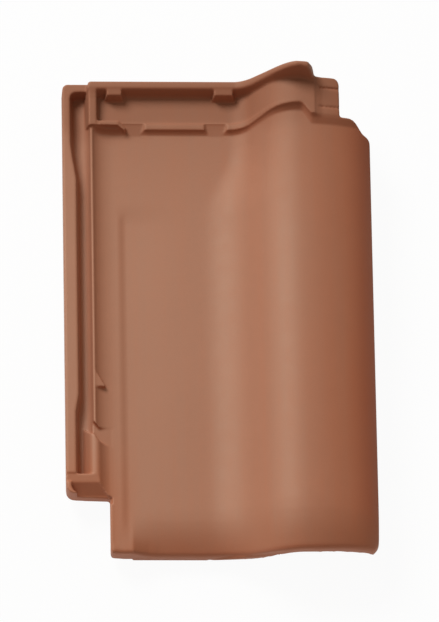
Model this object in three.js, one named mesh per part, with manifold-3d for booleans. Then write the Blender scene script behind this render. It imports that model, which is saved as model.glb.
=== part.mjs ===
// An interlocking hollow-pan roof tile, pressed and fired in one piece. Sizes are in millimetres.
// X runs across the tile from the side lock to the roll, Y from the tail up to the head, Z upwards.
// Heights are written above the flat of the pan, and the finished tile is set down on its feet.
// Names that end in FromHead or FromEdge are measured back from the head or the cover's edge.
import * as THREE from 'three';
import { mergeVertices } from 'three/addons/utils/BufferGeometryUtils.js';
import Module from 'manifold-3d';

const degrees = THREE.MathUtils.degToRad;
const ease = (t) => THREE.MathUtils.smoothstep(t, 0, 1);
const mix = THREE.MathUtils.lerp;
const right = Math.PI / 2;

// ---- driving dimensions ----
const tileWidth = 286;
const tileLength = 460;
const wall = 11; // thickness of the pressed clay

// the roll, seen on end: arcs that run into each other
const rollRise = 44; // crest of the roll above the pan
const crestFromEdge = 66.5;
const crownRadius = 125;
const crownAngle = degrees(23);
const skirtRadius = 47;
const edgeRadius = 3;
const coverEdgeHeight = 9; // upright face of the cover's free edge
const mainFlank = { angle: degrees(44.5), valley: 58, shoulder: 50 };
const headFlank = { angle: degrees(53), valley: 25, shoulder: 37 };
const flankChangeFromHead = 129; // the roll's foot draws in from here
const flankChangeRun = 69;

// the sunken panel of the pan
const recessX = 50.5;
const recessRun = 7;
const recessDepth = 1.4;
const recessFade = 60; // the panel rises back to the pan over this width
const recessTopFromHead = 118.5;
const recessTopRun = 17;

// the side lock: an outer rib, the water channel and a slim inner rib
const outerRibTop = 9;
const outerRibWide = 12.1;
const outerRibHead = 6.9; // the outer rib's width near the head
const outerRibTail = 9.2; // and near the tail
const bendTailY = 134;
const bendTailRun = 18;
const bendFromHead = 61;
const bendHeadRun = 37;
const channelFloor = -5.2;
const channelWallRun = 2.8;
const innerRibX = 25.5;
const innerRibTop = 8;
const innerRibWidth = 2.8;
const innerRibEnd = 120.5; // the inner rib stops here, above the drain
const innerRibEndSlant = 7;
const ribFootZ = 5.9; // the rib's steep side ends here and its wide foot begins
const lockFilletEnd = 48.5; // the inner rib's foot has run out into the pan
const lockBottom = -13;
const lockEndWall = 7.5; // clay that closes the channel at the head
const lockCorner = 7;

// the lock's tail end: drain, pad, band and ramp
const drainY = 123; // the drain's lower side starts here beside the outer rib
const drainFall = 16; // and lies this much lower where it meets the pan
const outletX = 26.5;
const outletZ = 2.4; // the outlet falls from here to the pan
const drainEndX = 43;
const padX = 15.5;
const padEndX = 43.5;
const bandY = 74.5;
const bandRun = 8;
const bandDrop = 1.2;
const rampRun = 11;
const rampBottom = -2.5;
const rampX = 4.6; // the outer rib's edge stays beside the ramp
const stopY = 160.5; // a small web stiffens the inner rib
const stopLength = 16;
const stopWidth = 9;
const stopTop = 7.4;
const stopSlope = 0.2;

// the tail: its nose bends down, except for a level strip beside the notch
const notchWidth = 40.5;
const notchLength = 55.2;
const noseLength = 40;
const noseDrop = 10;
const rollReach = 7; // the roll's tail edge stands this much further out than the pan's
const coverReach = 3.2;
const reachFromFoot = 13; // the tail edge starts to swing out this far right of the roll's foot
const reachRun = 58;
const stripEnd = 61;
const stripBlend = 24;
const footRun = 8;

// the head lock: a rim, a tray and a platform that steps down to the pan
const rimHeight = 18;
const rimWidth = 7.4;
const rimOverRoll = 27.5; // the rim's height above the roll's crest
const rimRiseFromCrest = 59.5; // the rim starts to climb this far left of the crest
const rimRiseRun = 58;
const rimCrestShift = 2.6; // over the roll the rim draws in towards the head
const rimLean = 0.3;
const rimRound = 1.4; // rounding of its head edge
const rimTopEdge = [[0.9, 2.2], [-0.2, 0.6], [-1.6, 0]]; // its tray edge: beyond the width, drop
const trayHeight = 3.4;
const trayRise = 1.3;
const platformHeight = 5.1;
const platformCrest = 7.3;
const platformStrip = 5;
const stepFromHead = 46.3;
const stepRun = 2.8;
const stepFillet = 1.2; // the step's foot is rounded over this length
const stepLead = 10; // the section follows the step's line from this far before it
const stepCrestShift = 9; // the step's line moves towards the head over the roll
const padDepth = 6;
const rimPads = [[41.7, 54.8], [142, 159]];
const drainRamps = [[58.8, 72.8], [136.6, 149.8]];
const rampReach = 9;
const rampFoot = 2.7;
const rampLean = 0.9;
const rampTop = 8;

// the head's right corner: the rim stops short of a low tab, and the cover ends in a lip
const rimStopX = 7.5; // right of the crest
const rimStopRun = 6.3;
const lipShift = 0.2; // the lip's line lies this much nearer the tail than the step
const lipRun = 4.8;
const lipTurnX = 0.5; // right of the crest the step's line turns towards the lip
const lipTurnRun = 11;
const tabX = 14; // the platform ends this far right of the crest
const tabEdge = 0.8; // in a low sharp step
const tabEdgeDrop = 0.9;
const tabLift = 4.6;
const tabRun = 6;
const tabFromEdge = 29.3;
const tabFromHead = 7;
const coverFromHead = 44.9;
const grooveWidth = 2.6;
const grooves = [[19.1, 2.2], [38, 1.6]]; // distance from the head, depth

// the corner rib and the low bar between the tray and the pan
const cornerRibX = 24.3;
const cornerRibWidth = 7.2;
const cornerRibDrop = 3; // the rib's top falls this much just behind the rim
const barHeight = 11.4;
const barWidth = 4.3;
const barOffset = 5; // from the step's foot towards the head
const barEndX = 51;
const barTip = 7;

// the feet that carry the tile, and the ribs below
const footDepth = 26; // feet reach this far below the pan's top
const noseFootLift = 3.5; // the nose's end face stops this far above the floor
const stripFootLift = 7; // and the level strip's
const nibWidth = 34;
const nibLength = 13;
const nibFromHead = 35;
const nibBack = 6;
const nibCentres = [76, 142];
const footRibY = 22;
const footRibWidth = 11;
const footRibStart = 68;
const footRibEnd = 158;
const footRibTaper = 1.5;
const rollRibDepth = 6;
const coverRibFromEdge = 23;
const coverRibWidth = 4;
const coverRibBottom = 1;
const coverRibLean = 0.1; // its sides lean outwards by this much for each unit of height
const coverRibFromLip = 16; // it stops this far from the cover's head edge

const draft = 0.18; // pressed sides lean by this much for each unit of height
const root = 3; // joined pieces reach this far into each other
const above = 90; // cutters end well above the tile
const below = -60; // and well below it
const clayColour = 0xa97b63;

// ---- places that follow from the sizes ----
const crestX = tileWidth - crestFromEdge;
const stepY = tileLength - stepFromHead;
const rimInnerY = tileLength - rimWidth;
const tabEndX = tileWidth - tabFromEdge;
const coverHeadY = tileLength - coverFromHead;
const coverRibX = tileWidth - coverRibFromEdge;
const skirtX = crestX + (crownRadius - skirtRadius) * Math.sin(crownAngle);
const skirtZ = rollRise - crownRadius + (crownRadius - skirtRadius) * Math.cos(crownAngle);
const skirtEndAngle = Math.asin(
  (tileWidth - edgeRadius - skirtX) / (skirtRadius - edgeRadius));
const edgeZ = skirtZ + (skirtRadius - edgeRadius) * Math.cos(skirtEndAngle);
const crownStops = [0, Math.asin(rimStopX / crownRadius), Math.asin((tabX - 0.6) / crownRadius),
  Math.asin(tabX / crownRadius), Math.asin((tabX + tabEdge) / crownRadius),
  Math.asin((tabX + tabEdge + tabRun) / crownRadius), crownAngle];
const crownSteps = [3, 2, 1, 1, 1, 6];

const wasm = await Module();
wasm.setup();

// ---- making solids ----

/** A Manifold solid from a closed three.js geometry. */
function solidOf(geometry) {
  const plain = geometry.index ? geometry.toNonIndexed() : geometry.clone();
  plain.deleteAttribute('normal');
  plain.deleteAttribute('uv');
  const merged = mergeVertices(plain, 1e-4);
  return new wasm.Manifold(new wasm.Mesh({
    numProp: 3,
    vertProperties: new Float32Array(merged.attributes.position.array),
    triVerts: new Uint32Array(merged.index.array),
  }));
}

/** Turn the faces of a closed skin outwards and give it as a solid. */
function facing(corners, faces) {
  const volume = faces.reduce((sum, [a, b, c]) => {
    const cross = new THREE.Vector3().crossVectors(corners[b], corners[c]);
    return sum + corners[a].dot(cross);
  }, 0);
  const turned = volume < 0 ? faces.map(([a, b, c]) => [a, c, b]) : faces;
  const geometry = new THREE.BufferGeometry().setFromPoints(turned.flat().map((i) => corners[i]));
  return solidOf(geometry);
}

/** Skin a row of rings of equal length and close both ends. flatten gives a ring's plane. */
function loft(given, flatten) {
  const clockwise = THREE.ShapeUtils.isClockWise(given[0].map(flatten));
  const rings = clockwise ? given.map((ring) => [...ring].reverse()) : given;
  const count = rings[0].length;
  const corners = rings.flat();
  const faces = [];
  for (let ring = 0; ring + 1 < rings.length; ring++) {
    for (let i = 0; i < count; i++) {
      const a = ring * count + i;
      const b = ring * count + (i + 1) % count;
      faces.push([a, b, b + count], [a, b + count, a + count]);
    }
  }
  // points on a straight side would be left out of a cap, so they are first set a hair off it
  const outline = rings[0].map(flatten).map((point, i) => point.addScalar((i % 3) * 1e-4));
  const cap = THREE.ShapeUtils.triangulateShape(outline, []);
  const last = (rings.length - 1) * count;
  for (const [a, b, c] of cap) {
    faces.push([c, b, a], [last + a, last + b, last + c]);
  }
  return facing(corners, faces);
}

const acrossPlane = (point) => new THREE.Vector2(point.x, point.z);
const alongPlane = (point) => new THREE.Vector2(point.y, point.z);
const planPlane = (point) => new THREE.Vector2(point.x, point.y);

/** Move every side of an outline, given anticlockwise, outwards by a distance. */
function grown(outline, distance) {
  return outline.map((here, i) => {
    const before = outline[(i + outline.length - 1) % outline.length];
    const after = outline[(i + 1) % outline.length];
    const into = here.clone().sub(before).normalize();
    const away = after.clone().sub(here).normalize();
    const normal = new THREE.Vector2(into.y + away.y, -into.x - away.x);
    const scale = distance / (1 + into.dot(away));
    return here.clone().addScaledVector(normal, scale);
  });
}

/** A block over a plan outline whose top and foot may slope, with sides that lean outwards. */
function wedge(outline, topAt, footAt, lean = draft) {
  const crown = outline.map((point) => new THREE.Vector3(point.x, point.y, topAt(point)));
  const base = grown(outline, lean * Math.abs(topAt(outline[0]) - footAt(outline[0])));
  return loft([base.map((point) => new THREE.Vector3(point.x, point.y, footAt(point))), crown],
    planPlane);
}

/** A block over a plan outline with a level top and foot. */
const pressedBlock = (outline, top, foot, lean) => wedge(outline, () => top, () => foot, lean);

/** Plan points from pairs of numbers. */
const plan = (pairs) => pairs.map(([x, y]) => new THREE.Vector2(x, y));

/** A plan rectangle, anticlockwise. */
const rectangle = (x0, y0, x1, y1) => plan([[x0, y0], [x1, y0], [x1, y1], [x0, y1]]);

/** An outline through corners [x, y, radius], each rounded off. */
function roundedOutline(corners, steps = 4) {
  const shape = new THREE.Shape();
  corners.forEach(([x, y, radius], i) => {
    const here = new THREE.Vector2(x, y);
    const before = new THREE.Vector2(...corners[(i + corners.length - 1) % corners.length]);
    const after = new THREE.Vector2(...corners[(i + 1) % corners.length]);
    const start = here.clone().add(before.sub(here).setLength(radius));
    const end = here.clone().add(after.sub(here).setLength(radius));
    if (i === 0) shape.moveTo(start.x, start.y);
    else shape.lineTo(start.x, start.y);
    shape.quadraticCurveTo(x, y, end.x, end.y);
  });
  shape.closePath();
  return shape.getPoints(steps).slice(0, -1);
}

/** A solid from a side view in Y and Z, running from one X to another; fall lowers its end. */
function sideCut(outline, x0, x1, lean = 0, fall = 0) {
  const top = Math.max(...outline.map(([, z]) => z));
  const ring = (x, outward, drop) => outline.map(
    ([y, z]) => new THREE.Vector3(x + outward * lean * (top - z), y, z - drop));
  return loft([ring(x0, 1, 0), ring(x1, -1, fall)], alongPlane);
}

/** A solid from an end view in X and Z, running from one Y to another. */
function endCut(outline, y0, y1) {
  const ring = (y) => outline.map(([x, z]) => new THREE.Vector3(x, y, z));
  return loft([ring(y0), ring(y1)], acrossPlane);
}

// ---- the tile's section ----

const line = (x0, z0, x1, z1) => new THREE.LineCurve(
  new THREE.Vector2(x0, z0), new THREE.Vector2(x1, z1));
const corner = (x0, z0, x1, z1, x2, z2) => new THREE.QuadraticBezierCurve(
  new THREE.Vector2(x0, z0), new THREE.Vector2(x1, z1), new THREE.Vector2(x2, z2));
const sweep = (x0, z0, x1, z1, x2, z2, x3, z3) => new THREE.CubicBezierCurve(
  new THREE.Vector2(x0, z0), new THREE.Vector2(x1, z1),
  new THREE.Vector2(x2, z2), new THREE.Vector2(x3, z3));
const arc = (x, z, radius, from, to) => new THREE.EllipseCurve(
  x, z, radius, radius, from, to, to < from);

/** The points of a row of [curve, steps] that join end to end. */
function traced(curves) {
  const points = curves.flatMap(([curve, steps]) => curve.getPoints(steps));
  return points.filter((point, i) => i === 0 || point.distanceTo(points[i - 1]) > 1e-3);
}

/** The roll's left side at a place along the tile: its angle, its radii and where it starts. */
function flankAt(y) {
  const change = ease((y - tileLength + flankChangeFromHead) / flankChangeRun);
  const angle = mix(mainFlank.angle, headFlank.angle, change);
  const valley = mix(mainFlank.valley, headFlank.valley, change);
  const shoulder = mix(mainFlank.shoulder, headFlank.shoulder, change);
  const straightRise = rollRise - (valley + shoulder) * (1 - Math.cos(angle));
  const run = straightRise / Math.tan(angle) + (valley + shoulder) * Math.sin(angle);
  return { angle, valley, shoulder, startX: crestX - run };
}

/** The arcs from the pan over the roll's crown; depth sinks them below the weather face. */
function rollArcs(y, depth, fine) {
  const { angle, valley, shoulder, startX } = flankAt(y);
  return [
    [arc(startX, valley, valley + depth, -right, angle - right), fine],
    [arc(crestX, rollRise - shoulder, shoulder - depth, right + angle, right), fine],
    ...crownStops.slice(1).map((angle, i) => [arc(crestX, rollRise - crownRadius,
      crownRadius - depth, right - crownStops[i], right - angle), crownSteps[i]]),
  ];
}

/** How far across the outer rib reaches at a place along the tile. */
function outerRibReach(y) {
  const fromTail = mix(outerRibTail, outerRibWide, ease((y - bendTailY) / bendTailRun));
  return mix(fromTail, outerRibHead, ease((y - tileLength + bendFromHead + bendHeadRun) / bendHeadRun));
}

/** The weather face of the side lock, from the tile's edge to the pan. */
function lockCurves(y) {
  const reach = outerRibReach(y);
  const floorX = reach + channelWallRun;
  const ribEndX = innerRibX + innerRibWidth;
  const outer = 1;
  const tight = 1.2;
  const hollow = 2;
  return [
    [corner(0, outerRibTop - outer, 0, outerRibTop, outer, outerRibTop), 3],
    [line(outer, outerRibTop, reach - tight, outerRibTop), 1],
    [corner(reach - tight, outerRibTop, reach, outerRibTop, reach + 0.3, outerRibTop - tight), 3],
    [line(reach + 0.3, outerRibTop - tight, floorX, channelFloor + hollow), 1],
    [corner(floorX, channelFloor + hollow, floorX + 0.5, channelFloor, floorX + 3, channelFloor), 3],
    [sweep(floorX + 3, channelFloor, innerRibX - 1.6, channelFloor + 0.2,
      innerRibX - 0.9, 1, innerRibX, innerRibTop - tight), 6],
    [corner(innerRibX, innerRibTop - tight, innerRibX + 0.2, innerRibTop,
      innerRibX + innerRibWidth / 2, innerRibTop), 2],
    [corner(innerRibX + innerRibWidth / 2, innerRibTop, ribEndX - 0.2, innerRibTop,
      ribEndX, innerRibTop - tight), 2],
    [line(ribEndX, innerRibTop - tight, ribEndX + 0.9, ribFootZ), 1],
    [sweep(ribEndX + 0.9, ribFootZ, ribEndX + 4.1, 0.44 * ribFootZ,
      ribEndX + 9, 0, lockFilletEnd, 0), 7],
  ];
}

/** Stops along the flat of the pan where the sunken panel and the nose change. */
function panCurves(y) {
  const stops = [lockFilletEnd];
  for (const part of [0, 0.33, 0.67, 1]) stops.push(recessX + part * recessRun);
  for (const part of [0, 0.12, 0.3, 0.6, 1]) stops.push(stripEnd + part * stripBlend);
  stops.push(recessX + recessFade * 0.75, recessX + recessFade, flankAt(y).startX);
  return stops.slice(1).map((x, i) => [line(stops[i], 0, x, 0), 1]);
}

/** The weather face across the tile, from the outer rib to the cover's free edge. */
function weatherLine(y) {
  return traced([
    ...lockCurves(y), ...panCurves(y), ...rollArcs(y, 0, 8),
    [arc(skirtX, skirtZ, skirtRadius, right - crownAngle, right - skirtEndAngle), 5],
    [arc(tileWidth - edgeRadius, edgeZ, edgeRadius, right - skirtEndAngle, 0), 3],
  ]);
}

/** The underside across the tile, from the cover's free edge back to the lock. */
function underLine(y) {
  const coverFoot = edgeZ - coverEdgeHeight;
  const insideRadius = skirtRadius - wall;
  const lastAngle = Math.acos(Math.min((coverFoot - skirtZ) / insideRadius, 1));
  const lastX = skirtX + insideRadius * Math.sin(lastAngle);
  return traced([
    [line(0, lockBottom + 1, 1, lockBottom), 1],
    [line(1, lockBottom, notchWidth, lockBottom), 1],
    [line(notchWidth, lockBottom, lockFilletEnd, -wall), 1],
    [line(lockFilletEnd, -wall, stripEnd, -wall), 1],
    [line(stripEnd, -wall, stripEnd + stripBlend, -wall), 1],
    [line(stripEnd + stripBlend, -wall, flankAt(y).startX, -wall), 1],
    ...rollArcs(y, wall, 4),
    [arc(skirtX, skirtZ, insideRadius, right - crownAngle, right - lastAngle), 3],
    [line(lastX, coverFoot, tileWidth - 1, coverFoot), 1],
    [line(tileWidth - 1, coverFoot, tileWidth, coverFoot + 1), 1],
  ]).reverse();
}

/** How deep the sunken panel lies at a point of the pan. */
function recessAt(x, y) {
  const across = ease((x - recessX) / recessRun) * (1 - ease((x - recessX) / recessFade));
  const along = ease((tileLength - recessTopFromHead - y) / recessTopRun) * ease(y / noseLength);
  return recessDepth * across * along;
}

/** How far the nose has bent down; the strip beside the notch stays level. */
function noseAt(x, y) {
  const across = 1 - (1 - THREE.MathUtils.clamp((x - stripEnd) / stripBlend, 0, 1)) ** 2;
  return y < noseLength ? noseDrop * across * (1 - y / noseLength) ** 2 : 0;
}

/** How far the tail edge stands out at a place across the tile. */
function reachAt(x) {
  const flank = ease((x - flankAt(0).startX - reachFromFoot) / reachRun);
  const skirt = ease((x - crestX) / crestFromEdge);
  return rollReach * flank - (rollReach - coverReach) * skirt;
}

// Rows of the head lock: distance from the head, lift above the section over the pan and over the
// roll, how far the row follows the step's line and takes part in the lip's slope, its share of
// the rim's height, and how far the rim is rounded down there.
const rimShift = rimCrestShift / stepCrestShift;
const rimFoot = rimWidth + rimLean * (rimHeight - trayHeight - trayRise);
const headRows = [
  [flankChangeFromHead, 0, 0, 0, 0, 0, 0],
  [stepFromHead + stepLead, 0, 0, 1, 1, 0, 0],
  [stepFromHead + stepFillet, 0, 0, 1, 1, 0, 0],
  [stepFromHead - 0.55 * stepRun, platformHeight * 0.45, platformCrest * 0.45, 1.06, 0.4, 0, 0],
  [stepFromHead - stepRun, platformHeight, platformCrest, 1.15, 0, 0, 0],
  [stepFromHead - stepRun - platformStrip, platformHeight, platformCrest, 0.9, 0, 0, 0],
  [stepFromHead - stepRun - platformStrip - 1.5, trayHeight, platformCrest, 0.8, 0, 0, 0],
  [rimFoot + 7, trayHeight + trayRise * 0.8, platformCrest, rimShift, 0, 0, 0],
  [rimFoot + 1, trayHeight + trayRise, platformCrest, rimShift, 0, 0, 0],
  [rimFoot - 0.6, trayHeight + trayRise + 1.5, platformCrest + 1.5, rimShift, 0, 0, 0],
  ...rimTopEdge.map(([beyond, drop]) => [rimWidth + beyond, 0, 0, rimShift, 0, 1, drop]),
  [rimRound, 0, 0, 0, 0, 1, 0],
  [0, 0, 0, 0, 0, 1, rimRound],
];

/** The head row that holds at a place along the tile, blended between its neighbours. */
function headRowAt(y) {
  const distance = tileLength - y;
  const next = headRows.findIndex(([from]) => from <= distance);
  if (next === 0) return [0, 0, 0, 0, 0, 0];
  const [fromA, ...a] = headRows[next - 1];
  const [fromB, ...b] = headRows[next];
  return a.map((value, i) => mix(value, b[i], (fromA - distance) / (fromA - fromB)));
}

/** How far up the roll a point of the section lies, 0 on the pan and 1 from the crest on. */
const rollShare = (point) => (point.x > crestX ? 1 : Math.max(point.y, 0) / rollRise);

/** The height of the rim's top across the tile. */
function rimLine(x) {
  const climb = ease((x - crestX + rimRiseFromCrest) / rimRiseRun);
  return mix(rimHeight, rollRise + rimOverRoll, climb);
}

/** The lift of the head lock at a point of the section. */
function liftAt(point, [overPan, overRoll, , , rim, drop]) {
  const past = point.x - crestX;
  const plain = mix(overPan, overRoll, rollShare(point));
  const lift = mix(plain, rimLine(point.x) - point.y - drop, rim);
  const capped = mix(lift, Math.min(lift, platformCrest), ease((past - rimStopX) / rimStopRun));
  const slope = THREE.MathUtils.clamp((past - tabX - tabEdge) / tabRun, 0, 1);
  const tabTop = platformCrest - tabEdgeDrop * ease((past - tabX) / tabEdge);
  const tabbed = Math.min(capped, mix(tabTop, tabLift, slope));
  const lipEnd = crestFromEdge - 18;
  const overLock = ease((point.x - innerRibX) / cornerRibWidth);
  return (past < tabX ? capped : tabbed) * overLock * (1 - ease((past - lipEnd) / 8));
}

/** How far a point of the section moves along the tile to follow the step, the lip or the tail. */
function shiftAt(point, y, [, , follows, slopes]) {
  const past = point.x - crestX;
  const turn = ease((past - lipTurnX) / lipTurnRun);
  const stepLine = mix(stepCrestShift * rollShare(point), -lipShift, turn);
  const tail = y < noseLength ? reachAt(point.x) * (1 - y / noseLength) : 0;
  return stepLine * follows - lipRun * turn * slopes - tail;
}

/** One closed ring across the tile. */
function ringAt(y, edgeDrop = 0) {
  const row = headRowAt(y);
  const place = (point, height) => new THREE.Vector3(
    point.x, y + shiftAt(point, y, row), height - noseAt(point.x, y));
  const top = weatherLine(y).map((point) => place(
    point, point.y + liftAt(point, row) - recessAt(point.x, y) - edgeDrop));
  const under = underLine(y).map((point) => place(point, point.y));
  return [...top, ...under];
}

/** The tile before its outline is trimmed: the section drawn along from tail to head. */
function pressedSheet() {
  const places = new Set([6, 10, 14.5, 19, 24, 31, noseLength]);
  for (const part of [0, 0.5, 1]) {
    places.add(bendTailY + part * bendTailRun);
    places.add(tileLength - recessTopFromHead - part * recessTopRun);
    places.add(tileLength - bendFromHead - part * bendHeadRun);
  }
  for (const part of [0, 0.25, 0.5, 0.75, 1]) {
    places.add(tileLength - flankChangeFromHead + part * flankChangeRun);
  }
  for (const [distance] of headRows.slice(1)) places.add(tileLength - distance);
  const sorted = [...places].sort((a, b) => a - b);
  const rings = [ringAt(0, 2.5), ringAt(1, 0.8), ringAt(2.8), ...sorted.map((y) => ringAt(y))];
  return loft(rings, acrossPlane);
}

// ---- the outline seen from above ----

/** The trimmed outline: a notch beside the tail, a corner cut away beside the tab. */
function outlineBlank() {
  const tabTopY = tileLength - tabFromHead;
  const rimStop = crestX + rimStopX + rimStopRun;
  const outline = roundedOutline([
    [notchWidth, -12, 1], [tileWidth - 4, -12, 1], [tileWidth - 4, -2.6, 1], [tileWidth, 1.6, 2],
    [tileWidth, coverHeadY - 14.6, 5], [tileWidth - 7, coverHeadY - 12.1, 3],
    [tileWidth - 15, coverHeadY - 0.5, 5], [tabEndX, coverHeadY, 1], [tabEndX, tabTopY, 7],
    [rimStop, tabTopY, 1], [rimStop - 2, tileLength, 3], [0, tileLength, 6],
    [0, notchLength, 9], [notchWidth, notchLength - 1.5, 2],
  ]);
  return pressedBlock(outline, above, below, 0);
}

// ---- features of the weather face ----

/** The clay that closes the channel at the head, rounded in its corner. */
function channelEnd() {
  const endY = tileLength - lockEndWall;
  const reach = outerRibHead;
  const outline = plan([[2, tileLength - 0.3], [2, endY - lockCorner], [reach, endY - lockCorner],
    [reach + 0.6, endY - 4], [reach + 2, endY - 1.8], [reach + 4.2, endY - 0.5],
    [reach + lockCorner, endY], [cornerRibX + 2, endY], [cornerRibX + 2, tileLength - 0.3]]);
  return pressedBlock(outline, outerRibTop, lockBottom + root);
}

/** The rib beside the tray: as high as the rim at first, then lower down to the bar. */
function cornerRib() {
  const ring = (fromHead, top) => {
    const y = tileLength - fromHead;
    const x1 = cornerRibX + cornerRibWidth;
    const foot = channelFloor - root;
    const spread = (top - foot) * draft;
    return [[cornerRibX + 0.8, top], [cornerRibX, top - 1], [cornerRibX - spread, foot],
      [x1 + 2.2, foot], [x1 + 0.6, top - 1.2], [x1 - 0.6, top]]
      .map(([x, z]) => new THREE.Vector3(x, y, z));
  };
  const level = rimHeight - cornerRibDrop;
  return loft([ring(rimWidth - 2, rimHeight - 0.2), ring(rimWidth, rimHeight - 0.5),
    ring(rimWidth + 4, level + 1.2), ring(rimWidth + 9, level),
    ring(stepFromHead - barOffset, barHeight)], acrossPlane);
}

/** The rim's left end, which stands on the lock beside the tray. */
function rimEnd() {
  const profile = [[rimFoot, trayHeight],
    ...rimTopEdge.map(([beyond, drop]) => [rimWidth + beyond, rimHeight - drop]),
    [rimRound, rimHeight], [0, rimHeight - rimRound],
    [0, channelFloor - root], [rimFoot, channelFloor - root]]
    .map(([fromHead, z]) => [tileLength - fromHead, z]);
  const body = sideCut(profile, cornerRibX - 2, recessX + root);
  const outline = roundedOutline([
    [cornerRibX - 0.8, tileLength - rimFoot - 2, 1], [recessX + 2, tileLength - rimFoot - 2, 1],
    [recessX + 2, tileLength, 1], [cornerRibX - 0.8, tileLength, 4]]);
  return body.intersect(pressedBlock(outline, rimHeight + 1, below, 0.05));
}

/** What is cleared from the tray's left end, so that it lies level up to the corner rib. */
function trayEndCut() {
  const x0 = cornerRibX + cornerRibWidth - 1;
  const y0 = stepY + barOffset + barWidth;
  const y1 = tileLength - rimFoot;
  const outline = plan([[x0, y0], [lockFilletEnd, y0], [lockFilletEnd, y1], [x0, y1]]);
  const footAt = ({ y }) => trayHeight + trayRise * (y - y0) / (y1 - y0);
  return wedge(outline, () => above, footAt, 0);
}

/** The low bar that stands on the tray's edge in the corner of the pan. */
function bar() {
  const y = stepY + barOffset;
  const outline = plan([[cornerRibX + 1, y], [barEndX, y + 0.5], [barEndX + barTip, y - 4],
    [barEndX + barTip + 1, y - 2], [barEndX + 1, y + barWidth + 0.5], [cornerRibX + 1, y + barWidth]]);
  const topAt = ({ x }) => barHeight - Math.max(0, (x - barEndX + 3) * 0.4);
  return wedge(outline, topAt, () => -root - 1, 0.12);
}

/** Two pads that thicken the rim towards the tray. */
function rimPadBlocks() {
  const blocks = rimPads.map(([x0, x1]) => wedge(
    rectangle(x0, rimInnerY - padDepth, x1, rimInnerY + 2),
    ({ y }) => rimHeight - (y < rimInnerY ? 2.2 : 0.3), () => 0, 0.2));
  return wasm.Manifold.union(blocks);
}

/** The ramps' own clay, where they run out over the pan. */
function rampFills() {
  const rise = [[stepY - rampFoot, 0], [stepY + rampReach, trayHeight],
    [stepY + rampReach, -root], [stepY - rampFoot, -root]];
  return wasm.Manifold.union(drainRamps.map(([x0, x1]) => sideCut(rise, x0, x1)));
}

/** Two ramps that drain the tray over the step. */
function rampCuts() {
  const rise = [[stepY - rampFoot, 0], [stepY + rampReach, trayHeight],
    [stepY + rampReach, rampTop], [stepY - rampFoot, rampTop]];
  const spread = rampLean * rampTop;
  return wasm.Manifold.union(drainRamps.map(
    ([x0, x1]) => sideCut(rise, x0 - spread, x1 + spread, rampLean)));
}

/** The fine grooves across the tab that carry on the lines of rim and platform. */
function tabGrooves() {
  const x0 = crestX + tabX + tabEdge + 3;
  const x1 = tabEndX + 2;
  const surface = (x) => rollRise - crownRadius + Math.sqrt(crownRadius ** 2 - (x - crestX) ** 2);
  const z = surface(x0) + tabLift;
  const cuts = grooves.map(([fromHead, depth]) => {
    const y = tileLength - fromHead;
    return sideCut([[y, z + 6], [y + 0.3, z - depth],
      [y + grooveWidth - 0.3, z - depth], [y + grooveWidth, z + 6]],
    x0, x1, 0, surface(x0) - surface(x1));
  });
  return wasm.Manifold.union(cuts);
}

/** The plan line of the drain's lower side, from the outer rib to the pan. */
const drainSide = [[padX - 2, drainY + 1.5], [padX, drainY], [30, drainY - drainFall + 0.5],
  [37, drainY - drainFall - 3], [drainEndX, drainY - drainFall - 5]];

/** The passage that lets water out of the channel on to the pan. */
function drain() {
  const x0 = innerRibX - 2;
  const outline = plan([[x0, drainSide[1][1] - 5], ...drainSide.slice(2),
    [drainEndX, innerRibEnd + 1], [innerRibX + 5, innerRibEnd],
    [x0, innerRibEnd + innerRibEndSlant + 1]]);
  const footAt = ({ x }) => outletZ * (drainEndX - x) / (drainEndX - outletX);
  return wedge(outline, () => above, footAt, 0);
}

/** The raised pad below the drain, flush with the inner rib and run out into the pan. */
function lockPad() {
  const top = innerRibTop;
  const ribEndX = innerRibX + innerRibWidth;
  const floor = channelFloor;
  const body = endCut([[padX, floor - 2], [padX + 0.6, floor], [padX + 2.5, floor + 2.6],
    [padX + 4.5, 1.6], [padX + 6.5, 5.2], [padX + 8.5, top - 0.8], [padX + 11, top],
    [ribEndX + 0.4, top], [ribEndX + 1.5, top - 0.4], [ribEndX + 2.9, top - 1.4],
    [ribEndX + 4.7, top - 3.3], [ribEndX + 6.5, 3.2], [ribEndX + 8.5, 1.9], [ribEndX + 10.7, 0.95],
    [ribEndX + 12.9, 0.3], [padEndX, 0], [padEndX, floor - 2]], notchLength - 1, drainY + 4);
  const outline = plan([[padX - 2, notchLength - 2], [padEndX + 1, notchLength - 2],
    [padEndX + 1, drainSide[3][1] - 2], ...drainSide.slice(0, 4).reverse()]);
  return body.intersect(pressedBlock(outline, above, below, 0));
}

/** The body of clay that closes the channel below the pad. */
function bandBlock() {
  return pressedBlock(rectangle(2, notchLength - 1, innerRibX + 2, bandY),
    innerRibTop, lockBottom + root, 0.1);
}

/** What is cleared from above the lock's band and ramp. */
function rampClearance() {
  const rampTopY = bandY - bandRun;
  const rampEndY = rampTopY - rampRun;
  const top = innerRibTop;
  const side = [[bandY, top], [rampTopY, top - bandDrop], [rampEndY, rampBottom],
    [rampEndY - 8, rampBottom], [rampEndY - 8, above], [bandY + 1, above], [bandY + 1, top]];
  const outline = plan([[rampX + 6, 30], [notchWidth + 2, 30], [notchWidth + 2, notchLength - 1],
    [38, notchLength], [30, rampTopY], [30, bandY + 2], [-5, bandY + 2], [-5, rampTopY + 1],
    [rampX, rampTopY], [rampX, notchLength + 7], [rampX + 2, notchLength + 3],
    [rampX + 6, notchLength]]);
  return sideCut(side.reverse(), -5, 50).intersect(pressedBlock(outline, above + 1, below, 0));
}

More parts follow.
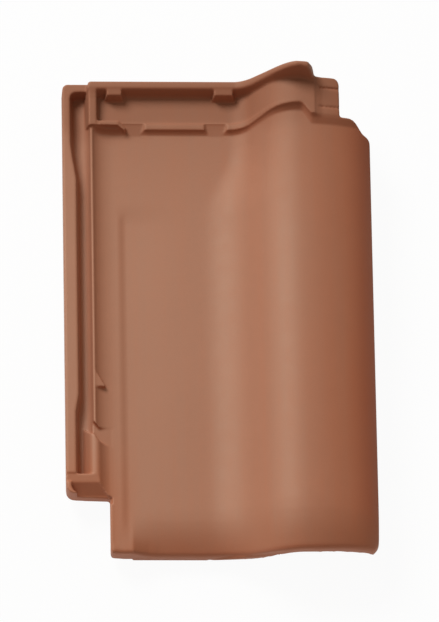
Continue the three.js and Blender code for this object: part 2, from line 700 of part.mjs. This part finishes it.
/** The small web that stiffens the inner rib. */
function stopWeb() {
  const x0 = innerRibX + innerRibWidth - 0.6;
  const outline = plan([[x0, stopY], [x0 + stopWidth, stopY], [x0 + stopWidth, stopY + 1.5],
    [x0, stopY + stopLength]]);
  const topAt = ({ x }) => stopTop - (x - x0) * stopSlope;
  return wedge(outline, topAt, () => -root, 0.05);
}

// ---- features of the underside ----

/** A foot below the tail's edge, from one place across to another. */
function tailFoot(x0, x1, top, bottom) {
  return sideCut([[0, bottom + 1], [0, top], [footRun + 10, top], [footRun, bottom], [1, bottom]],
    x0, x1);
}

/** A nib that hangs over the batten: a flat face to the tail, a slope to the head. */
function nib(centre) {
  const x0 = centre - nibWidth / 2;
  const nibY = tileLength - nibFromHead;
  const side = [[nibY, -wall + root], [nibY, -footDepth], [nibY + nibLength, -footDepth],
    [nibY + nibLength + nibBack, -wall + root]];
  return sideCut(side, x0, x0 + nibWidth);
}

/** The foot rib across the tail: deep below the pan, shallow below the roll. */
function footRib() {
  const farY = footRibY + footRibWidth;
  const panPart = sideCut([[footRibY, -wall + root], [footRibY + footRibTaper, -footDepth],
    [farY - footRibTaper, -footDepth], [farY, -wall + root]], footRibStart, footRibEnd);
  const under = underLine(0).reverse()
    .filter((point) => point.x > flankAt(0).startX && point.x < coverRibX);
  const ring = (y) => [
    ...under.map((point) => new THREE.Vector3(point.x, y, point.y + root + 1)),
    ...[...under].reverse().map((point) => new THREE.Vector3(point.x, y, point.y - rollRibDepth)),
  ];
  return panPart.add(loft([ring(footRibY), ring(farY)], acrossPlane));
}

/** The rib below the cover that hangs into the next tile's channel. */
function coverRib() {
  const underside = skirtZ + Math.sqrt((skirtRadius - wall) ** 2 - (coverRibX - skirtX) ** 2);
  const top = underside + root;
  const lean = (top - coverRibBottom) * coverRibLean;
  const ring = (height, spread) => rectangle(coverRibX - spread, notchLength,
    coverRibX + coverRibWidth + spread, coverHeadY - coverRibFromLip)
    .map((point) => new THREE.Vector3(point.x, point.y, height));
  return loft([ring(coverRibBottom, 0), ring(top, lean)], planPlane);
}

// ---- the tile ----

function buildTile() {
  let tile = pressedSheet().subtract(trayEndCut()).add(channelEnd()).add(cornerRib());
  tile = tile.add(rimEnd()).add(rimPadBlocks());
  tile = tile.subtract(rampCuts()).add(rampFills()).add(bar()).subtract(tabGrooves());
  tile = tile.subtract(drain()).add(lockPad()).add(bandBlock()).subtract(rampClearance());
  tile = tile.add(stopWeb()).add(footRib()).add(coverRib());
  tile = tile.add(tailFoot(notchWidth, stripEnd + 1, -root, stripFootLift - footDepth));
  tile = tile.add(tailFoot(stripEnd, flankAt(0).startX, -noseDrop - root,
    noseFootLift - footDepth));
  for (const centre of nibCentres) tile = tile.add(nib(centre));
  return tile.intersect(outlineBlank());
}

/** A Manifold solid as a named mesh in fired clay. */
function clayMesh(name, solid) {
  const { vertProperties, triVerts } = solid.getMesh();
  const geometry = new THREE.BufferGeometry();
  geometry.setAttribute('position', new THREE.BufferAttribute(vertProperties, 3));
  geometry.setIndex(new THREE.BufferAttribute(triVerts, 1));
  geometry.computeVertexNormals();
  const clay = new THREE.MeshStandardMaterial({ color: clayColour, roughness: 0.6, metalness: 0 });
  const mesh = new THREE.Mesh(geometry, clay);
  mesh.name = name;
  return mesh;
}

const roofTile = clayMesh('roof_tile', buildTile());
roofTile.position.set(-tileWidth / 2, (rollReach - tileLength) / 2, footDepth);

const product = new THREE.Group();
product.add(roofTile);
export default product;
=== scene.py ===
# %% [markdown]
# # A fired clay roof tile
# The tile is one piece of pressed and fired clay, so this lesson is about two things. First the
# crisp working model is softened into a shape that came out of a mould. Then the clay gets its
# colour, its fine grain and its faint sheen. Everything is in metres.

import math

import bmesh
import bpy
import numpy as np
from mathutils import Matrix, Quaternion, Vector


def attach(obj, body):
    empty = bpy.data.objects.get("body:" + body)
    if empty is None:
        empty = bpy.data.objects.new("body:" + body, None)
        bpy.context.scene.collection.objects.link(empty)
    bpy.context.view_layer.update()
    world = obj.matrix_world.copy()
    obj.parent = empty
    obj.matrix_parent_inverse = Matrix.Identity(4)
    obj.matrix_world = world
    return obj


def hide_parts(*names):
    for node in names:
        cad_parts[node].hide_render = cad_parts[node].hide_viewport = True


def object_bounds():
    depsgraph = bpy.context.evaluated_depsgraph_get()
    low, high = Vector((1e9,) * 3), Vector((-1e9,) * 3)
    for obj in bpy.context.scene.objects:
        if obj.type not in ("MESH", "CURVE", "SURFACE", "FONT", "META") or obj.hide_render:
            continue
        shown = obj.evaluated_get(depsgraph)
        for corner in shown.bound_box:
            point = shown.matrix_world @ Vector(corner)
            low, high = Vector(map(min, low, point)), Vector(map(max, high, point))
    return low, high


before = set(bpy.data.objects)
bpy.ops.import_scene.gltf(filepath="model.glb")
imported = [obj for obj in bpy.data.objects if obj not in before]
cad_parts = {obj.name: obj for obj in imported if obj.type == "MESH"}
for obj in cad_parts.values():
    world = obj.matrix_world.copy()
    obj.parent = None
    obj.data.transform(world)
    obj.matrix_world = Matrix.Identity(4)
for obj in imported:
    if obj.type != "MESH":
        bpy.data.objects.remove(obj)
cad_low, cad_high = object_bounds()
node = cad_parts["roof_tile"]
tile_size = cad_high - cad_low
print("tile", [round(side * 1000, 1) for side in tile_size], "mm")

# %% [markdown]
# ## Camera
# The tile lies on its feet and is seen from the tail, steeply from above, through a long lens.
# A long lens keeps the lengthwise ribs nearly parallel, as they are on the tile itself. The
# camera stands a little to the left and is rolled by nearly as much, so that the tile stays
# upright in the picture. The lens follows from how many points a metre should cover in a
# picture of 439 by 622 points.

# %% Camera
PICTURE_HEIGHT = 622
POINTS_PER_METRE = 1080.8
SENSOR = 0.036
DISTANCE = 8.0
CLIP_END = 20.0
AZIMUTH = math.radians(8.93)
ELEVATION = math.radians(69.08)
ROLL = math.radians(8.51)
AIM = Vector((0.0, 0.0005, 0.04))
AIM_RIGHT = 0.00011
AIM_UP = 0.00472


def make_camera():
    back = Vector((
        -math.sin(AZIMUTH) * math.cos(ELEVATION),
        -math.cos(AZIMUTH) * math.cos(ELEVATION),
        math.sin(ELEVATION),
    ))
    data = bpy.data.cameras.new("camera")
    data.sensor_width = SENSOR * 1000
    seen_height = PICTURE_HEIGHT / POINTS_PER_METRE
    data.lens = SENSOR * 1000 * DISTANCE / seen_height
    data.clip_end = CLIP_END
    camera = bpy.data.objects.new("camera", data)
    bpy.context.scene.collection.objects.link(camera)
    camera.rotation_mode = "QUATERNION"
    turn = Quaternion(back, ROLL) @ back.to_track_quat("Z", "Y")
    camera.rotation_quaternion = turn
    aside = turn @ Vector((AIM_RIGHT, AIM_UP, 0.0))
    camera.location = AIM + aside + back * DISTANCE
    bpy.context.scene.camera = camera
    return camera


camera = make_camera()
print("lens", round(camera.data.lens, 1), "mm")

# %% [markdown]
# ## Light
# One large soft light stands at the head's left and throws short soft shadows towards the tail
# and the roll. A dim, warm room around the tile fills the channels a little.

# %% Light
LIGHT_DISTANCE = 4.0
LIGHT_SIZE = 1.8
LIGHT_POWER = 118.0
LIGHT_TOWARDS = Vector((-0.65, 0.85, 1.0)).normalized()
ROOM_COLOUR = (1.0, 0.86, 0.74, 1.0)
ROOM_STRENGTH = 0.28


def make_lights():
    data = bpy.data.lights.new("soft_box", "AREA")
    data.shape = "DISK"
    data.size = LIGHT_SIZE
    data.energy = LIGHT_POWER
    lamp = bpy.data.objects.new("soft_box", data)
    bpy.context.scene.collection.objects.link(lamp)
    lamp.location = LIGHT_TOWARDS * LIGHT_DISTANCE
    lamp.rotation_mode = "QUATERNION"
    lamp.rotation_quaternion = LIGHT_TOWARDS.to_track_quat("Z", "Y")

    world = bpy.data.worlds.new("studio")
    bpy.context.scene.world = world
    world.use_nodes = True
    background = world.node_tree.nodes["Background"]
    background.inputs["Color"].default_value = ROOM_COLOUR
    background.inputs["Strength"].default_value = ROOM_STRENGTH


make_lights()
print("light", LIGHT_POWER, "W, room", ROOM_STRENGTH)


# %% Small helpers for node trees
class Tree:
    """Adds nodes to one material and joins them up."""

    def __init__(self, material):
        self.nodes = material.node_tree.nodes
        self.links = material.node_tree.links

    def put(self, socket, value):
        if isinstance(value, bpy.types.NodeSocket):
            self.links.new(value, socket)
        else:
            socket.default_value = value

    def math(self, kind, first, second=0.0, clamp=False):
        node = self.nodes.new("ShaderNodeMath")
        node.operation = kind
        node.use_clamp = clamp
        self.put(node.inputs[0], first)
        self.put(node.inputs[1], second)
        return node.outputs[0]

    def swing(self, pattern, strength):
        """A pattern from 0 to 1 turned into a swing around 0."""
        return self.math("MULTIPLY", self.math("SUBTRACT", pattern, 0.5), strength)

    def span(self, value, low, high, out_low, out_high):
        """A soft step from one number to another while the value crosses a span."""
        node = self.nodes.new("ShaderNodeMapRange")
        node.interpolation_type = "SMOOTHSTEP"
        for name, number in (("From Min", low), ("From Max", high),
                             ("To Min", out_low), ("To Max", out_high)):
            node.inputs[name].default_value = number
        self.put(node.inputs["Value"], value)
        return node.outputs["Result"]

    def curve(self, value, stops):
        """A smooth curve through (place, height) stops, both from 0 to 1."""
        node = self.nodes.new("ShaderNodeValToRGB")
        node.color_ramp.interpolation = "B_SPLINE"
        points = node.color_ramp.elements
        while len(points) < len(stops):
            points.new(0.5)
        for point, (place, height) in zip(points, stops):
            point.position = place
            point.color = (height, height, height, 1)
        self.put(node.inputs["Fac"], value)
        return node.outputs["Color"]

    def noise(self, where, size, detail, roughness=0.55):
        node = self.nodes.new("ShaderNodeTexNoise")
        node.inputs["Scale"].default_value = 1.0 / size
        node.inputs["Detail"].default_value = detail
        node.inputs["Roughness"].default_value = roughness
        self.put(node.inputs["Vector"], where)
        return node.outputs["Fac"]

    def stretched(self, where, stretch):
        node = self.nodes.new("ShaderNodeVectorMath")
        node.operation = "MULTIPLY"
        node.inputs[1].default_value = stretch
        self.put(node.inputs[0], where)
        return node.outputs["Vector"]

    def mixed(self, share, first, second, kind="MIX"):
        node = self.nodes.new("ShaderNodeMix")
        node.data_type = "RGBA"
        node.blend_type = kind
        self.put(node.inputs[0], share)
        self.put(node.inputs[6], first)
        self.put(node.inputs[7], second)
        return node.outputs[2]

    def attribute(self, name):
        node = self.nodes.new("ShaderNodeAttribute")
        node.attribute_name = name
        return node.outputs["Fac"]


# %% [markdown]
# ## Floor
# A plain white floor. For the camera most of its colour is plain white light, so the ground
# reads as white paper, while the rest is a real white surface that keeps the tile's shadow.

# %% Floor
FLOOR_HALF = 6.0
FLOOR_COLOUR = (0.92, 0.92, 0.92, 1)
FLOOR_WHITE = 0.95


def floor_paper():
    paper = bpy.data.materials.new("white_floor")
    paper.use_nodes = True
    tree = Tree(paper)
    tree.nodes.clear()
    output = tree.nodes.new("ShaderNodeOutputMaterial")
    mixed = tree.nodes.new("ShaderNodeMixShader")
    surface = tree.nodes.new("ShaderNodeBsdfDiffuse")
    surface.inputs["Color"].default_value = FLOOR_COLOUR
    white = tree.nodes.new("ShaderNodeEmission")
    white.inputs["Strength"].default_value = 1.0
    path = tree.nodes.new("ShaderNodeLightPath").outputs
    seen = tree.math("ADD", path["Is Camera Ray"], path["Is Glossy Ray"], clamp=True)
    seen = tree.math("ADD", seen, path["Is Transmission Ray"], clamp=True)
    tree.put(mixed.inputs["Fac"], tree.math("MULTIPLY", seen, FLOOR_WHITE))
    tree.put(mixed.inputs[1], surface.outputs[0])
    tree.put(mixed.inputs[2], white.outputs[0])
    tree.put(output.inputs["Surface"], mixed.outputs[0])
    return paper


def make_floor():
    built = bmesh.new()
    bmesh.ops.create_grid(built, x_segments=1, y_segments=1, size=FLOOR_HALF)
    mesh = bpy.data.meshes.new("floor")
    built.to_mesh(mesh)
    built.free()
    floor = bpy.data.objects.new("floor", mesh)
    bpy.context.scene.collection.objects.link(floor)
    floor.data.materials.append(floor_paper())


make_floor()
bpy.context.scene.view_settings.view_transform = "Standard"
print("floor", FLOOR_HALF * 2, "m square")


# %% [markdown]
# ## The moulded shape
# A pressed tile has no sharp edges: wet clay rounds off where it leaves the mould. The exact
# model is copied, its corners are joined, and it is wrapped in a fine even net of faces.
# Smoothing that net rounds every edge a little. The broad faces are then smoothed much longer,
# so that they curve evenly, and so are three corners that the mould leaves blunt. A few more
# rounds on the tab keep its two fine grooves from breaking up in the net.

# %% Helpers for meshes
SMOOTH_FACTOR = 0.5
SHARE_LEVELS = 8
CORNER_SLOPE = 1.5


def merged_copy(source, name, blocks):
    """Copies a mesh with its corners joined, and adds boxes that run into it."""
    built = bmesh.new()
    built.from_mesh(source.data)
    bmesh.ops.remove_doubles(built, verts=built.verts, dist=1e-6)
    for block_low, block_high in blocks:
        block_low, block_high = Vector(block_low), Vector(block_high)
        size = Matrix.Diagonal((block_high - block_low).to_4d())
        place = Matrix.Translation((block_low + block_high) / 2)
        bmesh.ops.create_cube(built, size=1.0, matrix=place @ size)
    mesh = bpy.data.meshes.new(name)
    built.to_mesh(mesh)
    built.free()
    piece = bpy.data.objects.new(name, mesh)
    bpy.context.scene.collection.objects.link(piece)
    return piece


def apply_modifiers(piece):
    graph = bpy.context.evaluated_depsgraph_get()
    graph.update()
    done = bpy.data.meshes.new_from_object(piece.evaluated_get(graph))
    piece.modifiers.clear()
    old = piece.data
    piece.data = done
    bpy.data.meshes.remove(old)


def numbers(items, name, width, kind=np.float32):
    """Reads one property of every vertex or edge as rows of numbers."""
    read = np.empty(len(items) * width, dtype=kind)
    items.foreach_get(name, read)
    return read.reshape(-1, width)


def broad_share(mesh, flat_bend, edge_bend, rings):
    """1 on broad faces, falling to 0 a few rings of vertices before an edge."""
    normal = numbers(mesh.vertices, "normal", 3)
    first, second = numbers(mesh.edges, "vertices", 2, np.int32).T
    turn = np.arccos(np.clip((normal[first] * normal[second]).sum(1), -1, 1))
    bend = np.zeros(len(mesh.vertices), dtype=np.float32)
    np.maximum.at(bend, first, turn)
    np.maximum.at(bend, second, turn)
    for _ in range(rings):
        wider = bend.copy()
        np.maximum.at(wider, first, bend[second])
        np.maximum.at(wider, second, bend[first])
        bend = wider
    return np.clip((edge_bend - bend) / (edge_bend - flat_bend), 0, 1)


def corner_share(mesh, corners, reach):
    """1 up to a third of the reach from a corner, falling to 0 at the full reach."""
    place = numbers(mesh.vertices, "co", 3)
    share = np.zeros(len(place), dtype=np.float32)
    for corner in corners:
        away = np.linalg.norm(place - np.array(corner, dtype=np.float32), axis=1)
        near = np.clip(CORNER_SLOPE - CORNER_SLOPE * away / reach, 0, 1)
        share = np.maximum(share, near)
    return share


def smooth_by(piece, name, share, rounds):
    """Smooths a piece by as much as each vertex's share, in a few levels."""
    group = piece.vertex_groups.new(name=name)
    level = np.round(share * SHARE_LEVELS).astype(int)
    for step in range(1, SHARE_LEVELS + 1):
        members = np.flatnonzero(level == step).tolist()
        if members:
            group.add(members, step / SHARE_LEVELS, "REPLACE")
    soft = piece.modifiers.new(name, "SMOOTH")
    soft.factor = SMOOTH_FACTOR
    soft.iterations = rounds
    soft.vertex_group = name
    apply_modifiers(piece)
    piece.vertex_groups.clear()
    print(name, int((level > 0).sum()), "vertices")


# %% Moulded shape
NET_SIZE = 0.0009
SMOOTH_ROUNDS = 3

# broad faces bend less than this from one vertex to the next, and edges more
BROAD_ROUNDS = 70
FLAT_BEND = math.radians(1.4)
EDGE_BEND = math.radians(3.2)
EDGE_RINGS = 3

# the rim's right corner, the roll tail's outer corner and the strip's tail corner
CORNER_ROUNDS = 60
CORNER_REACH = 0.012
BLUNT_CORNERS = [
    (0.0845, 0.2325, 0.0960),
    (0.1385, -0.2295, 0.0270),
    (0.1385, -0.2295, 0.0360),
    (-0.1015, -0.2260, 0.0220),
    (-0.1015, -0.2260, 0.0120),
]

# three places along each of the tab's two grooves
GROOVE_ROUNDS = 7
GROOVE_REACH = 0.012
GROOVE_HEIGHT = 0.070
GROOVES = [(x, y, GROOVE_HEIGHT) for x in (0.096, 0.104, 0.112) for y in (0.1968, 0.2156)]

# a block that closes a narrow gap in the tail's end face, beside the strip
TAIL_FILL = [((-0.082, -0.2262, 0.012), (-0.0725, -0.2150, 0.0154))]
TRIANGLE_BUDGET = 190_000


def moulded(piece):
    net = piece.modifiers.new("net", "REMESH")
    net.mode = "VOXEL"
    net.voxel_size = NET_SIZE
    soft = piece.modifiers.new("soft", "SMOOTH")
    soft.factor = SMOOTH_FACTOR
    soft.iterations = SMOOTH_ROUNDS
    apply_modifiers(piece)
    triangles = sum(len(face.vertices) - 2 for face in piece.data.polygons)
    broad = broad_share(piece.data, FLAT_BEND, EDGE_BEND, EDGE_RINGS)
    smooth_by(piece, "broad", broad, BROAD_ROUNDS)
    blunt = corner_share(piece.data, BLUNT_CORNERS, CORNER_REACH)
    smooth_by(piece, "blunt", blunt, CORNER_ROUNDS)
    grooves = corner_share(piece.data, GROOVES, GROOVE_REACH)
    smooth_by(piece, "grooves", grooves, GROOVE_ROUNDS)
    if triangles > TRIANGLE_BUDGET:
        fewer = piece.modifiers.new("fewer", "DECIMATE")
        fewer.ratio = TRIANGLE_BUDGET / triangles
        apply_modifiers(piece)
    piece.data.polygons.foreach_set("use_smooth", [True] * len(piece.data.polygons))
    piece.data.update()
    return triangles


tile = merged_copy(node, "clay_tile", TAIL_FILL)
net_triangles = moulded(tile)
print("net", net_triangles, "triangles, kept", len(tile.data.polygons))

# %% [markdown]
# ## Marks on the surface
# The clay's colour needs to know two things about each place on the tile: how sharply the
# surface bends there, and how far it looks towards the tail, away from the light. Both are
# stored on the mesh. The first gives pale worn edges and painted shade in hollow corners, the
# second painted shade on faces that look towards the tail.

# %% Marks on the surface
WEAR_ROUNDS = 3
SHORTEST_SQUARED = 1e-10


def surface_bend(mesh, rounds):
    """Bending of the surface at each vertex, per metre: above 0 on edges, below 0 in corners."""
    place = numbers(mesh.vertices, "co", 3)
    normal = numbers(mesh.vertices, "normal", 3)
    first, second = numbers(mesh.edges, "vertices", 2, np.int32).T
    apart = place[first] - place[second]
    squared = np.maximum((apart ** 2).sum(1), SHORTEST_SQUARED)
    total = np.zeros(len(place))
    count = np.zeros(len(place))
    np.add.at(total, first, (apart * normal[first]).sum(1) / squared)
    np.add.at(total, second, -(apart * normal[second]).sum(1) / squared)
    np.add.at(count, first, 1)
    np.add.at(count, second, 1)
    bend = total / count
    for _ in range(rounds):
        around = np.zeros(len(place))
        np.add.at(around, first, bend[second])
        np.add.at(around, second, bend[first])
        bend = (bend + around / count) / 2
    return bend


def store(mesh, name, values):
    kept = mesh.attributes.new(name, "FLOAT", "POINT")
    kept.data.foreach_set("value", values.astype(np.float32))


bending = surface_bend(tile.data, WEAR_ROUNDS)
tailward = np.clip(-numbers(tile.data.vertices, "normal", 3)[:, 1], 0, 1)
store(tile.data, "bending", bending)
store(tile.data, "tailward", tailward)
print("sharpest edge", round(float(np.percentile(bending, 99.5))), "per metre")
print("sharpest corner", round(float(np.percentile(bending, 0.5))), "per metre")

# %% [markdown]
# ## Fired clay
# The clay is pale on the pan, and its colour wanders a little over a hand's breadth. Redder and
# darker clay is painted shade: on the roll's outer side and its far edge, which turn away from
# the light and lose their sheen, along the tail's edge, on faces that look towards the tail, and
# in the recessed head lock, which also darkens. The tail's left corner is redder as well. Inside
# that drift there are faint streaks along the tile, a soft mottle and a fine grain. Edges are
# worn a little paler, hollow corners get painted shade, and the mottle and the grain also tilt
# the surface slightly.

# %% Patterns in the clay
CLOUD_SIZE = 0.09
MOTTLE_SIZE = 0.012
GRAIN_SIZE = 0.0011
GRAIN_ROUGHNESS = 0.7
STREAK_WIDTH = 0.009
STREAK_LENGTH = 0.22
print("mottle", MOTTLE_SIZE * 1000, "mm, grain", GRAIN_SIZE * 1000, "mm")


def clay_patterns(tree, place):
    """Four noises from 0 to 1: broad clouds, a mottle, a fine grain and lengthwise streaks."""
    lengthwise = tree.stretched(place, (1.0, STREAK_WIDTH / STREAK_LENGTH, 1.0))
    return {
        "cloud": tree.noise(place, CLOUD_SIZE, detail=2.0),
        "mottle": tree.noise(place, MOTTLE_SIZE, detail=4.0),
        "grain": tree.noise(place, GRAIN_SIZE, detail=2.0, roughness=GRAIN_ROUGHNESS),
        "streaks": tree.noise(lengthwise, STREAK_WIDTH, detail=2.0),
    }


# %% [markdown]
# Places across and along the tile run from 0 to 1: from the side lock to the roll, and from the
# tail to the head. Each list below holds (place, share) stops of a smooth curve, and the cloud
# pattern lets those curves wander a little, so that no colour ends on a straight line.

# %% Colour of the clay and painted shade
PALE_CLAY = (0.435, 0.180, 0.104, 1)
# a red clay for the streaks, also used as painted shade where the clay turns away from the light
# and loses its sheen
RED_CLAY_AND_SHADE = (0.45, 0.136, 0.059, 1)
# painted shade: a dark red for the roll's far edge, which faces away from the light, and for
# hollow corners
SHADE_CLAY = (0.34, 0.068, 0.021, 1)
# painted shade on faces that look towards the tail, away from the light
TAIL_SHADE_CLAY = (0.47, 0.140, 0.065, 1)
# painted shade on the roll's outer side, which turns away from the light: redder, without sheen
RED_SHADE_ACROSS = [(0.00, 0.0), (0.68, 0.0), (0.80, 0.35), (0.90, 0.7), (1.00, 1.0)]
# painted shade, redder, along the tail's edge, which looks away from the light, and in the
# recessed head lock
RED_SHADE_ALONG = [(0.00, 0.9), (0.03, 0.3), (0.10, 0.0), (0.88, 0.0), (0.91, 0.5), (1.00, 0.6)]
# painted shade on the roll's far edge
SHADE_ACROSS = [(0.00, 0.0), (0.90, 0.0), (0.95, 0.5), (1.00, 1.0)]
STREAK_RED = 0.5
TAIL_CORNER_RED = 0.9
TAIL_CORNER = (0.08, 0.30)  # the tail's left corner fades out between these places
SHADE_WANDER = 0.3  # the share of the wandering that the painted shade on the roll's far edge follows
SHADE_TAIL = (0.02, 0.12)  # below these places the painted shade on the far edge falls to its share at the tail
SHADE_TAIL_SHARE = 0.4
TAIL_SHADE_FACE = (0.1, 0.7)  # how far a face looks towards the tail, away from the light, before painted shade turns it red


def clay_colour(tree, across, along, wander, streaks):
    # painted shade: the roll's outer side turns redder
    red_shade_side = tree.curve(tree.math("ADD", across, wander), RED_SHADE_ACROSS)
    # painted shade along the tail's edge and in the head lock; the tail's left corner is redder
    # too
    red_ends = tree.curve(tree.math("ADD", along, wander), RED_SHADE_ALONG)
    red_corner = tree.math("MULTIPLY", tree.span(across, *TAIL_CORNER, TAIL_CORNER_RED, 0.0),
                           tree.span(along, *TAIL_CORNER, 1.0, 0.0))
    red_ends = tree.math("MAXIMUM", red_ends, red_corner)
    red = tree.math("ADD", tree.math("MAXIMUM", red_shade_side, red_ends),
                    tree.swing(streaks, STREAK_RED), clamp=True)
    colour = tree.mixed(red, PALE_CLAY, RED_CLAY_AND_SHADE)

    # painted shade: the roll's far edge, which faces away from the light, turns dark red
    shade_place = tree.math("ADD", across, tree.math("MULTIPLY", wander, SHADE_WANDER))
    edge_shade = tree.math("MULTIPLY", tree.curve(shade_place, SHADE_ACROSS),
                     tree.span(along, *SHADE_TAIL, SHADE_TAIL_SHARE, 1.0))
    colour = tree.mixed(edge_shade, colour, SHADE_CLAY)
    # painted shade: faces that look towards the tail, away from the light, turn red
    back_shade = tree.span(tree.attribute("tailward"), *TAIL_SHADE_FACE, 0.0, 1.0)
    return tree.mixed(back_shade, colour, TAIL_SHADE_CLAY)


# %% Lighter and darker clay, and painted shade at the head
WANDER = 0.12
DRIFT_TOP = 1.1  # the lightest stop, which the curve's full height stands for
# the clay's lightness along the tile; the fall at the head is painted shade of the recessed head
# lock
DRIFT_AND_SHADE_ALONG = [
    (0.00, 1.04), (0.08, 1.10), (0.25, 1.05), (0.55, 1.05), (0.80, 0.98),
    (0.88, 0.94), (0.905, 0.82), (0.93, 0.76), (1.00, 0.74),
]
PATTERN_STRENGTH = {"cloud": 0.10, "mottle": 0.07, "grain": 0.10, "streaks": 0.06}


def drift_and_head_shade(tree, along, wander, patterns):
    stops = [(place, level / DRIFT_TOP) for place, level in DRIFT_AND_SHADE_ALONG]
    drift = tree.curve(tree.math("ADD", along, wander), stops)
    drift = tree.math("MULTIPLY", drift, DRIFT_TOP)
    for name, strength in PATTERN_STRENGTH.items():
        swing = tree.math("ADD", tree.swing(patterns[name], strength), 1.0)
        drift = tree.math("MULTIPLY", drift, swing)
    return drift


# %% Worn edges and painted shade in hollow corners
WORN_CLAY = (0.52, 0.225, 0.135, 1)
WORN_FROM = 40.0  # bending per metre at which wear starts
WORN_FULL = 250.0
WORN_SHARE = 0.45
WORN_MOTTLE = (0.35, 0.65)
WORN_RAGGED = 0.6
# how much painted shade the hollow corners get
CORNER_SHADE_SHARE = 0.35


def worn_and_shaded(tree, colour, mottle):
    bend = tree.attribute("bending")
    ragged = tree.span(mottle, *WORN_MOTTLE, WORN_RAGGED, 1.0)
    edges = tree.math("MULTIPLY", tree.span(bend, WORN_FROM, WORN_FULL, 0.0, WORN_SHARE), ragged)
    colour = tree.mixed(edges, colour, WORN_CLAY)
    # painted shade: hollow corners, where the surface bends inwards, darken towards the dark red
    corners = tree.span(bend, -WORN_FULL, -WORN_FROM, CORNER_SHADE_SHARE, 0.0)
    return tree.mixed(corners, colour, SHADE_CLAY)


# %% Fired clay
ROUGHNESS = 0.62
ROUGHER_HEAD = 0.12
HEAD_SPAN = (0.62, 0.92)
MOTTLE_ROUGHNESS = 0.12
SHEEN_LEVEL = 1.0
SHEEN_TINT = (1.0, 1.0, 0.80, 1)
MOTTLE_DEPTH = 0.00008
GRAIN_DEPTH = 0.00003


def fired_clay():
    material = bpy.data.materials.new("fired_clay")
    material.use_nodes = True
    tree = Tree(material)
    shader = tree.nodes["Principled BSDF"]

    place = tree.nodes.new("ShaderNodeTexCoord").outputs["Object"]
    apart = tree.nodes.new("ShaderNodeSeparateXYZ")
    tree.put(apart.inputs[0], place)
    across = tree.math("ADD", tree.math("DIVIDE", apart.outputs["X"], tile_size.x), 0.5)
    along = tree.math("ADD", tree.math("DIVIDE", apart.outputs["Y"], tile_size.y), 0.5)
    patterns = clay_patterns(tree, place)
    wander = tree.swing(patterns["cloud"], WANDER)

    colour = clay_colour(tree, across, along, wander, patterns["streaks"])
    drift = drift_and_head_shade(tree, along, wander, patterns)
    colour = tree.mixed(1.0, colour, drift, "MULTIPLY")
    tree.put(shader.inputs["Base Color"], worn_and_shaded(tree, colour, patterns["mottle"]))

    dull = tree.math("ADD", tree.span(along, *HEAD_SPAN, 0.0, ROUGHER_HEAD),
                     tree.swing(patterns["mottle"], MOTTLE_ROUGHNESS))
    tree.put(shader.inputs["Roughness"], tree.math("ADD", dull, ROUGHNESS))
    shader.inputs["Specular IOR Level"].default_value = SHEEN_LEVEL
    shader.inputs["Specular Tint"].default_value = SHEEN_TINT

    bump = tree.nodes.new("ShaderNodeBump")
    bump.inputs["Strength"].default_value = 1.0
    bump.inputs["Distance"].default_value = 1.0
    relief = tree.math("ADD", tree.math("MULTIPLY", patterns["mottle"], MOTTLE_DEPTH),
                       tree.math("MULTIPLY", patterns["grain"], GRAIN_DEPTH))
    tree.put(bump.inputs["Height"], relief)
    tree.put(shader.inputs["Normal"], bump.outputs["Normal"])
    return material


tile.data.materials.clear()
tile.data.materials.append(fired_clay())
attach(tile, "root")
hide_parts("roof_tile")
print("clay", len(tile.data.materials[0].node_tree.nodes), "nodes")
